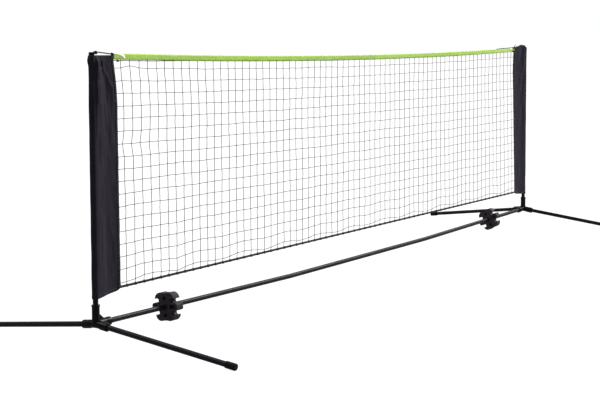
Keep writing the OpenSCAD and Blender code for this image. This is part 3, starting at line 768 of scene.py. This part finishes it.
class SPORTSNET_OT_stage(bpy.types.Operator):
    """Makes the floor, the light and the camera"""
    bl_idname = "sportsnet.stage"
    bl_label = "Stage"

    def execute(self, context):
        stage = settings().stage
        self.floor(stage)
        self.world(context.scene, stage)
        self.lamps(stage)
        self.camera(context.scene, stage)
        context.scene.view_settings.view_transform = "Standard"
        return {"FINISHED"}

    def seen(self, tree):
        """1 for rays that show the background as it is, and 0 for those that light."""
        rays = add(tree, "LightPath").outputs
        seen = add(tree, "Math", {0: rays["Is Camera Ray"], 1: rays["Is Glossy Ray"]},
                   operation="MAXIMUM")
        return add(tree, "Math", {0: seen, 1: rays["Is Transmission Ray"]}, operation="MAXIMUM")

    def floor(self, stage):
        """Pale floor. Seen directly, most of its white is its own, so shadows stay faint."""
        bm = bmesh.new()
        bmesh.ops.create_grid(bm, x_segments=4, y_segments=4, size=FLOOR_HALF)
        floor = linked("floor", mesh_from("floor", bm))
        material = bpy.data.materials.new("pale_floor")
        material.use_nodes = True
        tree = material.node_tree
        tree.nodes.clear()
        paint = add(tree, "BsdfDiffuse", {"Color": rgba([PAINT * c for c in stage.floor])})
        glow = add(tree, "Emission", {"Color": rgba(stage.floor), "Strength": GLOW})
        plain = add(tree, "AddShader", {0: paint, 1: glow})
        pale = add(tree, "BsdfDiffuse", {"Color": rgba([BOUNCE * c for c in stage.floor])})
        either = add(tree, "MixShader", {0: self.seen(tree), 1: pale, 2: plain})
        add(tree, "OutputMaterial", {"Surface": either})
        floor.data.materials.append(material)
        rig.stage(floor)

    def world(self, scene, stage):
        """Backdrop in the floor's colour, and even light that doesn't depend on it."""
        world = bpy.data.worlds.new("even_daylight")
        scene.world = world
        world.use_nodes = True
        tree = world.node_tree
        tree.nodes.clear()
        lighting = add(tree, "Background", {"Color": (1, 1, 1, 1), "Strength": stage.daylight})
        backdrop = add(tree, "Background", {"Color": rgba(stage.floor), "Strength": 1.0})
        either = add(tree, "MixShader", {0: self.seen(tree), 1: lighting, 2: backdrop})
        add(tree, "OutputWorld", {"Surface": either})

    def lamps(self, stage):
        """The key from the front right, weak suns from the left and behind, and a soft box
        between the posts that is turned to the foot of the right one."""
        for name, share, spread, tilt, turn in SUNS:
            lamp = bpy.data.lights.new(name, "SUN")
            lamp.energy = stage.key * share
            lamp.angle = radians(spread)
            linked(name, lamp).matrix_world = (Matrix.Rotation(radians(turn), 4, "Z")
                                               @ Matrix.Rotation(radians(tilt), 4, "X"))
        box = bpy.data.lights.new("right_box", "AREA")
        box.energy = stage.box
        box.size = BOX_SIZE
        box.spread = radians(BOX_SPREAD)
        turn = (BOX_AIM - BOX_PLACE).to_track_quat("-Z", "Y").to_matrix().to_4x4()
        linked("right_box", box).matrix_world = Matrix.Translation(BOX_PLACE) @ turn

    def camera(self, scene, stage):
        """Camera beyond the left post and in front of the net, looking along it."""
        data = bpy.data.cameras.new("camera")
        data.sensor_width = SENSOR
        data.lens = stage.lens
        data.shift_y = stage.shift
        data.clip_end = FARTHEST
        camera = linked("camera", data)
        camera.matrix_world = (Matrix.Translation(Vector(stage.place))
                               @ Matrix.Rotation(-stage.heading, 4, "Z")
                               @ Matrix.Rotation(pi / 2 - stage.tilt, 4, "X")
                               @ Matrix.Rotation(stage.roll, 4, "Z"))
        scene.camera = camera


# ---------- stand ----------

class SPORTSNET_OT_stand(bpy.types.Operator):
    """Gives the tubes, fittings, caps and clips of the frame their finishes"""
    bl_idname = "sportsnet.stand"
    bl_label = "Stand"

    def execute(self, context):
        stand = settings().stand
        # the clips are a dustier, coarser black than the fittings
        grained = moulded_nylon("grained_nylon", "#201B20", stand.clips, 0.75, 0.15)
        finishes = {
            "steel_tube": powder_coated_steel(),
            "moulded_nylon": moulded_nylon("moulded_nylon", "#070608", stand.nylon, 0.30, 0.035),
            "cap_rubber": moulded_rubber(),
        }
        for part in frame["record"]["subparts"]:
            finish = finishes.get(part["material_slot"])
            if part["node"].endswith("_clip"):
                finish = grained
            if finish:
                mesh = frame["nodes"][part["node"]].data
                mesh.materials.clear()
                mesh.materials.append(finish)
        return {"FINISHED"}


# ---------- cords ----------

CORD_EXIT_X = 1.17    # here the top cord comes out of the fold, towards the right post
EXIT_LENGTH = 0.05    # over this length
CORD_OVER = 0.0100    # its height over the band's centre line from there
CORD_IN = 0.0064      # and inside the fold
CORNER_OVER = {"left": 0.0028, "right": 0.0075}     # and over the sleeves' top corners
EYE_DROP = 0.0035     # middle of the eyes, below the mean of the cord's and the cap's tops
EYE_INSET = 0.0005    # ends of the top cord, from the ends of its box
EYE_RUN = 0.012       # level run through each eye
BEYOND = 0.004        # how far cords go on past the band
HANG_STEPS, ROUTE_STEP, CORD_SIDES = 140, 0.004, 10
# height of the head cord over the band's centre line, by x
HEAD_DROP = ((-1.411, -0.0116), (-1.26, -0.0112), (-1.05, -0.0088), (1.376, -0.0080))


def top_cord_route():
    """From the left cap's eye, through the fold of the band, to the right cap's eye."""
    eye_z = (TOP_CORD_HIGH.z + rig.box("left_post_cap")[1].z) / 2 - EYE_DROP
    left, right = TOP_CORD_LOW.x, TOP_CORD_HIGH.x
    route = [(left + EYE_INSET, 0, eye_z), (left + EYE_RUN, 0, eye_z),
             (BAND_LOW.x - BEYOND, 0, SLEEVE_TOP_Z + CORNER_OVER["left"])]
    for n in range(1, HANG_STEPS):
        x = mix(BAND_LOW.x, BAND_HIGH.x, n / HANG_STEPS)
        lift = mix(CORD_IN, CORD_OVER, ease((x - CORD_EXIT_X) / EXIT_LENGTH))
        route.append((x, 0.0004 * ripple(x * 9, 3, 0), band_height(x) + lift))
    route += [(BAND_HIGH.x + BEYOND, 0, SLEEVE_TOP_Z + CORNER_OVER["right"]),
              (right - EYE_RUN, 0, eye_z), (right - EYE_INSET, 0, eye_z)]
    return evenly(route, ROUTE_STEP)


def head_cord_route():
    """Along the lower edge of the band, a little below it near the left post."""
    route = []
    for n in range(HANG_STEPS + 1):
        x = mix(BAND_LOW.x - BEYOND, BAND_HIGH.x + BEYOND, n / HANG_STEPS)
        drop = through(HEAD_DROP, x) + 0.0004 * ripple(x * 14, 8, 0)
        route.append((x, 0.0003 * ripple(x * 11, 5, 0), band_height(x) + drop))
    return evenly(route, ROUTE_STEP)


def bottom_cord_route():
    """Straight from one sleeve to the other."""
    low, high = BOTTOM_CORD_LOW.x, BOTTOM_CORD_HIGH.x
    return evenly([(low, 0, BOTTOM_CORD_Z), (high, 0, BOTTOM_CORD_Z)], ROUTE_STEP)


class SPORTSNET_OT_cords(bpy.types.Operator):
    """Makes the top cord, the head cord, the bottom cord and their knots"""
    bl_idname = "sportsnet.cords"
    bl_label = "Cords"

    def execute(self, context):
        cords = settings().cords
        fine = braided_cord("braided_cord", "UV")
        knots = braided_cord("braided_cord_knots", "Object")
        for name, route, diameter, length, replaced in (
            ("top_cord_braid", top_cord_route(), cords.top, cords.top_length, ["top_cord"]),
            ("head_cord_braid", head_cord_route(), cords.head, cords.head_length, []),
            ("bottom_cord_braid", bottom_cord_route(), cords.bottom, cords.bottom_length,
             ["bottom_cord"]),
        ):
            tube = cord_tube(route, diameter, CORD_SIDES)
            obj = piece(name, tube, fine, "cord_fibre", replaced)
            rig.cord(obj, exit=route[0], length=length, diameter=diameter, far_end="object",
                    stiffness="limp", lay="taut", path=route)
        self.knots(knots, cords)
        return {"FINISHED"}

    def knots(self, material, cords):
        """Knots outside the eyes, at the sleeves' corners and on the head cord: the place,
        the size in knots and the turn in degrees. Tied cord is pulled a little thinner."""
        eye_z = top_cord_route()[0].z
        left, right = TOP_CORD_LOW.x, TOP_CORD_HIGH.x
        for name, place, size, turn in (
            ("left_eye_knot", (left + 0.0015, 0, eye_z), 0.5, 20),
            ("right_eye_knot", (right - 0.0015, 0, eye_z), 0.5, -35),
            ("left_corner_knot", (BAND_LOW.x - 0.004, 0, SLEEVE_TOP_Z + 0.0022), 1, 70),
            ("left_head_knot", (BAND_LOW.x + 0.017, -0.0035, band_height(-1.39) - 0.0125), 1, 10),
            ("right_corner_knot", (1.368, -0.001, SLEEVE_TOP_Z + 0.001), 1.15, 50),
            ("right_head_knot", (1.358, -0.005, band_height(1.35) - 0.0060), 1.5, 5),
        ):
            matrix = Matrix.Translation(place) @ Matrix.Rotation(radians(turn), 4, (1, 2, 1))
            line = [matrix @ point for point in knot_line(cords.knot * size, 30)]
            bm = twined([line], cords.top * 0.82, closed=True)
            piece(name, bm, material, "cord_fibre")
        tail = [Vector((1.364, -0.002, SLEEVE_TOP_Z + 0.002)), Vector((1.367, -0.005, 0.8365)),
                Vector((1.372, -0.007, 0.8425)), Vector((1.379, -0.008, 0.8480))]
        piece("right_knot_tail", twined([tail], cords.top * 0.9), material, "cord_fibre")


# ---------- band ----------

TOP_LOWER = 0.0012    # the band's fold lies this much lower where the cord is outside it
LOWER_FROM = 0.02     # starting this far before the cord comes out
FLAT_SHARE = 0.4      # share of the tape's width in each flat face
PINCH_SHARE = 0.35    # share of a face over which it widens from the sewn edge
SEAM_SHARE = 0.075    # the stitches' place, in shares of the tape's width from its edge
BAND_GRID = (28, 520)     # cells across and along the tape
BAND_STITCH = 0.00045     # half the width of a stitch
# The two pale strips that paint a highlight on the band's folded ends: half width, then x and height over the band's
# centre line
END_HIGHLIGHTS = (
    (0.0046, ((-1.403, 0.0086), (-1.393, 0.0084), (-1.379, 0.0062), (-1.368, 0.0014),
              (-1.363, -0.0055))),
    (0.0036, ((1.332, 0.0066), (1.339, 0.006), (1.346, 0.004), (1.351, 0.0005))),
)


def tinted(tone, factor):
    """A tone made darker or lighter."""
    return [min(1.0, factor * c) for c in tone]


class SPORTSNET_OT_band(bpy.types.Operator):
    """Makes the tape folded over the top cord, with its stitches and the pale strips of painted highlight on its
    folded ends
    """
    bl_idname = "sportsnet.band"
    bl_label = "Band"

    def execute(self, context):
        band = settings().band
        length = BAND_HIGH.x - BAND_LOW.x
        width = 2 * (band.height - band.half_gap) + pi * band.half_gap
        light = tinted(band.colour, 1.16)
        tape = ribbed_tape("ribbed_tape", tinted(band.colour, 0.80), band.colour, light)
        bm = lofted(*BAND_GRID, self.place, width, length)
        obj = piece("folded_band", bm, tape, "band_tape", ["top_band"], band.tape)
        # painted highlight: pale strips on the band's folded ends
        turned = self.turned_ends(band)
        thread = sewing_thread("band_thread", band.thread, light)
        sewn = stitched("band_stitches", self.seams(band), band.stitch, BAND_STITCH,
                        thread, "band_tape")
        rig.sheet(obj, flat=(0.041, 2.79), held="folded", rests_on=["top_cord_braid"],
                 with_pieces=[turned, sewn])
        return {"FINISHED"}

    def place(self, u, v):
        """Point of the folded tape: u from the front lower edge to the rear one."""
        band = settings().band
        x = mix(BAND_LOW.x, BAND_HIGH.x, v)
        sunk = TOP_LOWER * ease((x - CORD_EXIT_X + LOWER_FROM) / EXIT_LENGTH)
        top = band.height / 2 - sunk - band.tape / 2 - band.half_gap
        low = -band.height / 2 + 0.0005 * ripple(x * 16, 1, 0)
        side = -1 if u < 0.5 else 1
        share = min(u, 1 - u)
        if share < FLAT_SHARE:
            up = share / FLAT_SHARE
            z = mix(low, top, up)
            y = mix(band.pinch, band.half_gap, ease(up / PINCH_SHARE))
        else:
            turn = (share - FLAT_SHARE) / (0.5 - FLAT_SHARE) * pi / 2
            z = top + band.half_gap * sin(turn)
            y = band.half_gap * cos(turn)
        sway = 0.0007 * ripple(x * 7, z * 40, 2) + 0.0004 * ripple(x * 31, z * 90, 4)
        return Vector((x, side * y + sway, band_height(x) + z))

    def seams(self, band):
        """A line of stitches on each face, close to the lower edge."""
        steps = round((BAND_HIGH.x - BAND_LOW.x) / band.stitch)
        lines = []
        for u in (SEAM_SHARE, 1 - SEAM_SHARE):
            line = [self.place(u, n / steps) for n in range(steps + 1)]
            out = Vector((0, -1 if u < 0.5 else 1, 0)) * band.tape * 0.55
            lines.append([point + out for point in line])
        return lines

    def turned_ends(self, band):
        """Pale strips on the band's folded ends: a painted highlight where the puffed ends of the tape catch the
        light.
        """
        shade = tinted(band.reverse, 0.86)
        # painted highlight: a near-white ribbed tape for the strips
        reverse = ribbed_tape("tape_end_highlight", shade, band.reverse, band.reverse)
        bm = bmesh.new()
        for widest, arc in END_HIGHLIGHTS:
            line = evenly([(x, 0, band_height(x) + z) for x, z in arc], 0.002)

            def place(u, v, line=line, widest=widest):
                i = round(v * (len(line) - 1))
                bulge = sin(pi * u)
                half = widest * sin(pi * (0.24 + 0.68 * v))
                out = band.half_gap + band.tape * 0.6 + 0.0003 * bulge
                across = mix(-half, half, u)
                return line[i] + Vector((across * 1.5, -out, across * 0.55))

            strip = mesh_from("strip", lofted(6, len(line) - 1, place, 0.004, 0.05))
            bm.from_mesh(strip)
            bpy.data.meshes.remove(strip)
        return piece("painted_end_highlight_strips", bm, reverse, "band_tape", thickness=0.0006)


# ---------- sleeves ----------

# Main creases of each sleeve: distance from the post axis and height of both ends, rise
# of the fold and half width, all in metres
CREASES = {
    "left": (
        (0.048, 0.79, 0.081, 0.738, 0.0032, 0.0022),
        (0.081, 0.742, 0.087, 0.7, 0.0022, 0.0022),
        (0.033, 0.815, 0.04, 0.792, -0.004, 0.0034),
        (0.04, 0.77, 0.056, 0.62, 0.0018, 0.0065),
        (0.03, 0.7, 0.048, 0.52, 0.0012, 0.006),
        (0.06, 0.68, 0.09, 0.56, 0.0016, 0.005),
        (0.048, 0.6, 0.088, 0.44, 0.0012, 0.008),
        (0.06, 0.33, 0.088, 0.19, -0.001, 0.009),
        (0.025, 0.36, 0.042, 0.18, 0.001, 0.007),
    ),
    "right": (
        (0.0108, 0.8, 0.0374, 0.712, 0.0036, 0.0065),
        (0.0374, 0.712, 0.056, 0.64, 0.0026, 0.007),
        (0.045, 0.835, 0.095, 0.76, 0.003, 0.009),
        (0.02, 0.64, 0.07, 0.45, 0.002, 0.008),
        (0.07, 0.56, 0.095, 0.38, -0.0018, 0.009),
        (0.03, 0.38, 0.048, 0.18, 0.0016, 0.008),
    ),
}
# The loose cloth that hangs from the left cap in front of the post, in the same form
SLACK = (
    (0.004, 0.815, 0.024, 0.76, 0.0074, 0.0105),
    (0.024, 0.76, 0.013, 0.69, 0.0062, 0.0105),
    (0.013, 0.69, 0.006, 0.6, 0.0016, 0.0105),
)
# Height of a sleeve's top edge over its plain level, from the outer side of the post
TOP_EDGE = {
    "left": ((0.0, 0.0),),
    "right": ((-0.011, 0.007), (0.0, 0.0118), (0.012, 0.018), (0.045, 0.0192),
              (0.0863, 0.0125), (0.1215, 0.0062)),
}
# How much wider than usual the cloth stands off the post, by height
TUNNEL = {
    "left": ((0.7, 0.0), (0.775, -0.0009), (0.795, -0.0006), (0.814, 0.0022), (0.829, -0.0008)),
    "right": ((0.0, 0.0),),
}
HOOD = 0.0095           # height over which the right sleeve closes above its post cap
CORNER_START = 0.074    # where the sleeve's clipped corner starts, from the post axis
CORNER_LIFT = 0.0087    # how far the corner is clipped
BOTTOM_SLOPE = 0.087    # rise of the bottom edge towards the net
STEEPNESS = 6.0         # a fold leans over: it is this much steeper on one side
BLEND = 0.016           # length over which folds fade out at the post and at the net edge
BULK = 0.0005           # how far the turned hems stand out
BINDING_RISE = 0.0006   # how far the binding stands out
BINDING_TURN = 0.3      # share of the binding that goes round the cloth's edge
CLOTH_GRID, BINDING_GRID = (140, 220), (14, 190)    # cells round and up a sleeve
SIDE_STITCHES, HEM_STITCHES = 172, 30
SLEEVE_STITCH = (0.004, 0.0004)     # pitch and half the width of a stitch
EDGE_STEP = 0.0015      # length over which a hem stands out, and seams from the edge


def crease_height(side, creases, s, z):
    """How far creases push the cloth out at distance s and height z."""
    height = 0.0
    for s0, z0, s1, z1, rise, half in creases:
        along = Vector((s1 - s0, z1 - z0))
        share = ((s - s0) * along.x + (z - z0) * along.y) / along.length_squared
        held = min(max(share, 0.0), 1.0)
        off = hypot(s - s0 - along.x * held, z - z0 - along.y * held)
        past = along.x * (z - z0) - along.y * (s - s0) > 0
        if past != (side == "left"):
            off /= STEEPNESS
        height += rise * exp(-(off / half) ** 2) * (1 - 0.5 * abs(2 * held - 1) ** 3)
    return height


def sleeve_point(side, u, v, out=0.0):
    """Point of a sleeve: u from the front net edge round the post to the rear one."""
    sleeves = settings().sleeves
    face = -1 if u < 0.5 else 1
    level = mix(SLEEVE_LOW_Z, SLEEVE_TOP_Z, v)
    width = sleeve_width(side, level) + 0.0011 * ripple(level * 26, 7 * SIDES[side], 0)
    radius = sleeves.radius + 0.0006 * ripple(level * 17, face, 9) * (1 - v ** 6)
    radius += through(TUNNEL[side], level)
    quarter = pi / 2 * radius
    around = abs(2 * u - 1) * (quarter + width)
    if around < quarter:
        turn = around / radius
        # gathers under the cap
        radius += 0.0009 * sin(9 * turn + 4) * ease((v - 0.955) / 0.03)
        s = -radius * cos(turn)
        y = radius * sin(turn)
    else:
        s = around - quarter
        y = mix(radius, sleeves.half_gap, ease(s / sleeves.reach))
    corner = max(0.0, (s - CORNER_START) / (sleeve_width(side, SLEEVE_LOW_Z) - CORNER_START))
    low = SLEEVE_LOW_Z + BOTTOM_SLOPE * max(s, 0) + CORNER_LIFT * corner ** 4
    top = SLEEVE_TOP_Z + through(TOP_EDGE[side], s)
    top += 0.0008 * ripple(s * 60, 3, SIDES[side])
    z = mix(low, top, v)
    if side == "right":
        closing = min(max((z - top + HOOD) / HOOD, 0), 1)
        y *= sqrt((1 - closing ** 2) * 0.97 + 0.03)
    free = ease((s - 0.010) / BLEND) * ease((width - s) / BLEND)
    folds = crease_height(side, CREASES[side], s, z)
    folds += 0.0010 * ripple(s * 42, z * 8, 5 * SIDES[side]) + 0.0004 * ripple(s * 90, z * 26, 11)
    if side == "left" and face < 0 and s > 0:
        y += max(crease_height(side, [fold], s, z) for fold in SLACK) * ease(s / 0.009)
    hem = BULK * (1 - ease((z - low - sleeves.hem) / EDGE_STEP))
    hem += BULK * ease((z - top + sleeves.hem) / EDGE_STEP)
    y += out + hem + 0.00035 * ripple(s * 70, z * 30, 20 * face) * free
    y = face * y - folds * free
    return Vector((POST_X[side] - SIDES[side] * s, y, z))


class SPORTSNET_OT_sleeves(bpy.types.Operator):
    """Makes the cloth sleeves with their folds, hems, bindings and stitches"""
    bl_idname = "sportsnet.sleeves"
    bl_label = "Sleeves"

    def execute(self, context):
        sleeves = settings().sleeves
        cloth = satin_polyester()
        tape = twill_binding()
        thread = sewing_thread("sleeve_thread", "#222127", "#302F36")
        height = SLEEVE_TOP_Z - SLEEVE_LOW_Z
        for side, widths in (("left", sleeves.left), ("right", sleeves.right)):
            flat_width = 2 * widths[1] + pi * sleeves.radius
            bm = lofted(*CLOTH_GRID, partial(sleeve_point, side), flat_width, height)
            obj = piece(f"{side}_sleeve_cloth", bm, cloth, "sleeve_cloth", [f"{side}_sleeve"],
                        sleeves.cloth)
            bm = lofted(*BINDING_GRID, partial(self.binding_point, side), 2 * sleeves.hem, height)
            binding = piece(f"{side}_sleeve_binding", bm, tape, "sleeve_cloth",
                            thickness=sleeves.cloth)
            sewn = stitched(f"{side}_sleeve_stitches", self.seams(side), *SLEEVE_STITCH,
                            thread, "sleeve_cloth")
            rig.sheet(obj, flat=(flat_width, height), held="hung",
                     rests_on=[f"{side}_post", f"{side}_post_cap"], with_pieces=[binding, sewn])
        return {"FINISHED"}

    def binding_point(self, side, u, v):
        """Point of the tape that wraps the sleeve's net edge."""
        sleeves = settings().sleeves
        base = sleeve_point(side, 0, v)
        turn = (u - 0.5) * 2
        face = -1 if turn < 0 else 1
        back = sleeves.hem * max(0.0, (abs(turn) - 0.15) / 0.85)
        share = back / (2 * sleeve_width(side, base.z) + pi * sleeves.radius)
        point = sleeve_point(side, share if face < 0 else 1 - share, v, out=BINDING_RISE)
        if abs(turn) < BINDING_TURN:
            bend = sin(abs(turn) / BINDING_TURN * pi / 2)
            point.y = face * bend * abs(point.y)
            point.x = base.x + SIDES[side] * -0.0009 * (1 - bend)
        return point

    def seams(self, side):
        """Stitches on both faces, inside the binding and over the bottom hem."""
        sleeves = settings().sleeves
        lines = []
        for face in (0, 1):
            up = []
            for n in range(SIDE_STITCHES):
                v = 0.004 + 0.992 * n / (SIDE_STITCHES - 1)
                width = 2 * sleeve_width(side, SLEEVE_TOP_Z * v) + pi * sleeves.radius
                share = (sleeves.hem - EDGE_STEP) / width
                up.append(sleeve_point(side, abs(face - share), v, out=0.0011))
            lines.append(up)
            shares = [mix(0.05, 0.44, n / (HEM_STITCHES - 1)) for n in range(HEM_STITCHES)]
            lines.append([sleeve_point(side, abs(face - share), 0.0115, out=0.0004)
                          for share in shares])
        return lines


# ---------- netting ----------

PULL_DECAY = 10       # columns over which the sleeves' edges pull the uprights sideways
WAVE_COLUMNS = 6.0    # columns in a wave of the lowest row
WAVE_DECAY = 2.6      # rows over which the wave dies out
SLIP_Z = 0.576        # row that has slipped towards the left sleeve
SLIP = 0.008
SLIP_HALF = 0.022     # how far above and below it the uprights follow
PULLED = 0.0075       # knot of the top row that is pulled up, near the left sleeve
UPRIGHT_DROP = 0.0065     # uprights start this far below the band's centre line
TUCK = 0.006          # rows end this far inside the sleeves
BOW = 0.0016          # how far a strand may bow between two knots
LASHING_TURNS, LASHING_STEPS = 2.5, 8       # turns round the bottom cord, points to a turn
LASHING_PITCH = 0.0018    # and the way along it in a turn


def row_height(j, x, k):
    """Height of row j where it crosses upright k near x."""
    net = settings().netting
    phase = 2 * pi * (k - 1.3) / WAVE_COLUMNS + 0.8 * ripple(k * 0.13, 2, 0)
    wave = net.wave * sin(phase)
    wave = (wave + 0.0022 * ripple(k * 0.9, 5, 1)) * exp(-j / WAVE_DECAY)
    low = BOTTOM_CORD_Z + net.lowest + wave
    high = band_height(x) - net.highest
    high += 0.0012 * ripple(k * 0.7, 9, 2)
    pulled = PULLED * exp(-(k - 1) ** 2 / 0.5) if j == net.rows - 1 else 0.0
    slack = 0.0026 * ripple(k * 0.24, j * 0.35, 3) + 0.0014 * ripple(k * 0.6, j * 0.8, 4)
    return mix(low, high, j / (net.rows - 1)) + pulled + slack


def upright_x(k, z):
    """X of upright k at height z."""
    net = settings().netting
    bend = SLEEVE_TOP_Z - settings().sleeves.shoulder
    last = net.uprights - 1
    ends = {side: net_edge(side, bend) - SIDES[side] * net.edge for side in SIDES}
    x = mix(ends["left"], ends["right"], k / last)
    pull = (net_edge("left", z) - net_edge("left", bend)) * exp(-k / PULL_DECAY)
    pull += (net_edge("right", z) - net_edge("right", bend)) * exp((k - last) / PULL_DECAY)
    slip = SLIP * exp(-((z - SLIP_Z) / SLIP_HALF) ** 2) * (1 - ease((k - 2) / 4))
    bow = 0.0024 * ripple(k * 0.3, z * 7, 6) + 0.0016 * ripple(k * 0.8, z * 19, 15)
    bow += 0.0026 * ripple(k * 0.9, z * 14, 8) * ease((z - 0.68) / 0.08)
    return x + pull - slip + bow


def crossing(k, j):
    """Place where upright k is knotted to row j."""
    x = upright_x(k, 0.5)
    z = row_height(j, x, k)
    sway = 0.0020 * ripple(k * 0.11, j * 0.2, 12)
    return Vector((upright_x(k, z), sway, z))


def bowed(a, b, k, j):
    """Middle of a strand between two knots, a little off the straight line."""
    off = Vector((ripple(k * 1.7, j * 1.3, 21), ripple(k * 1.1, j * 1.9, 22),
                  ripple(k * 1.9, j * 1.2, 23)))
    return (a + b) / 2 + off * BOW


def strand(knots, number):
    """Line of a strand through its knots; each number gives other bows."""
    line = []
    for n, (a, b) in enumerate(zip(knots, knots[1:])):
        line += [a, bowed(a, b, number, n)]
    return [*line, knots[-1]]


class SPORTSNET_OT_netting(bpy.types.Operator):
    """Makes the netting: strands, knots and the lashing round the bottom cord"""
    bl_idname = "sportsnet.netting"
    bl_label = "Netting"

    def execute(self, context):
        net = settings().netting
        twine = knotted_twine()
        grid = [[crossing(k, j) for j in range(net.rows)] for k in range(net.uprights)]
        lines = [self.upright(k, column) for k, column in enumerate(grid)]
        for j in range(net.rows):
            lines.append(self.row(j, [column[j] for column in grid]))
        piece("netting_strands", twined(lines, net.twine), twine, "net_twine", ["net_mesh"])
        self.knots(net, grid, twine)
        return {"FINISHED"}

    def upright(self, k, column):
        """Down from the band through each knot, then round the bottom cord."""
        top = column[-1].copy()
        top.z = band_height(top.x) - UPRIGHT_DROP
        line = strand([top, *reversed(column)], k)
        # the twine bites into the cord
        radius = (settings().cords.bottom + 0.3 * settings().netting.twine) / 2
        for n in range(round(LASHING_TURNS * LASHING_STEPS) + 1):
            turn = 2 * pi * n / LASHING_STEPS
            line.append(Vector((
                column[0].x + LASHING_PITCH * (n / LASHING_STEPS - LASHING_TURNS / 2),
                -radius * sin(turn),
                BOTTOM_CORD_Z + radius * cos(turn),
            )))
        return line

    def row(self, j, crossings):
        """From inside the left sleeve's edge to inside the right one's."""
        ends = []
        for side, near in (("left", crossings[0]), ("right", crossings[-1])):
            ends.append(Vector((net_edge(side, near.z) + SIDES[side] * TUCK, 0, near.z)))
        return strand([ends[0], *crossings, ends[1]], j + 50)

    def knots(self, net, grid, twine):
        """A small tight knot at each crossing and where each upright meets the head cord."""
        knot = twined([knot_line(net.knot, 14)], net.twine * 0.8, closed=True, roundness=0)
        matrices = []
        for k, column in enumerate(grid):
            head = column[-1].copy()
            head.z = band_height(head.x) + through(HEAD_DROP, head.x)
            for j, place in enumerate([*column, head]):
                turn = Matrix.Rotation(6 * ripple(k * 0.83, j * 0.71, 31), 4, (1, 3, 1))
                size = Matrix.Diagonal((1.12, 0.8, 1 + 0.25 * ripple(k * 1.3, j * 1.1, 33), 1))
                matrices.append(Matrix.Translation(place) @ size @ turn)
        piece("netting_knots", repeated(knot, matrices), twine, "net_twine")


# ---------- panel, registration and run ----------

OPERATORS = (SPORTSNET_OT_stage, SPORTSNET_OT_cords, SPORTSNET_OT_stand, SPORTSNET_OT_band,
             SPORTSNET_OT_sleeves, SPORTSNET_OT_netting)


class SPORTSNET_PT_panel(bpy.types.Panel):
    """Lists the steps that dress the net"""
    bl_idname = "SPORTSNET_PT_panel"
    bl_label = "Sports Net"
    bl_space_type = "VIEW_3D"
    bl_region_type = "UI"
    bl_category = "Sports Net"

    def draw(self, context):
        for operator in OPERATORS:
            self.layout.operator(operator.bl_idname)
        for group in SportsNetSettings.__annotations__:
            values = getattr(context.scene.sports_net, group)
            box = self.layout.box()
            box.label(text=group.capitalize())
            for name in values.__annotations__:
                box.prop(values, name)


CLASSES = (StageSettings, CordSettings, BandSettings, SleeveSettings, NettingSettings,
           StandSettings, SportsNetSettings, *OPERATORS, SPORTSNET_PT_panel)


def register():
    for cls in CLASSES:
        bpy.utils.register_class(cls)
    bpy.types.Scene.sports_net = PointerProperty(type=SportsNetSettings)


def unregister():
    del bpy.types.Scene.sports_net
    for cls in reversed(CLASSES):
        bpy.utils.unregister_class(cls)


def main():
    register()
    bpy.ops.sportsnet.stage()
    bpy.ops.sportsnet.cords()
    bpy.ops.sportsnet.stand()
    bpy.ops.sportsnet.band()
    bpy.ops.sportsnet.sleeves()
    bpy.ops.sportsnet.netting()
    sizes = {
        "cad": [list(corner) for corner in CAD_BOX],
        "visual": [list(corner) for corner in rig.bounds()],
    }
    with open("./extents.json", "w") as file:
        json.dump(sizes, file)


if __name__ == "__main__":
    main()
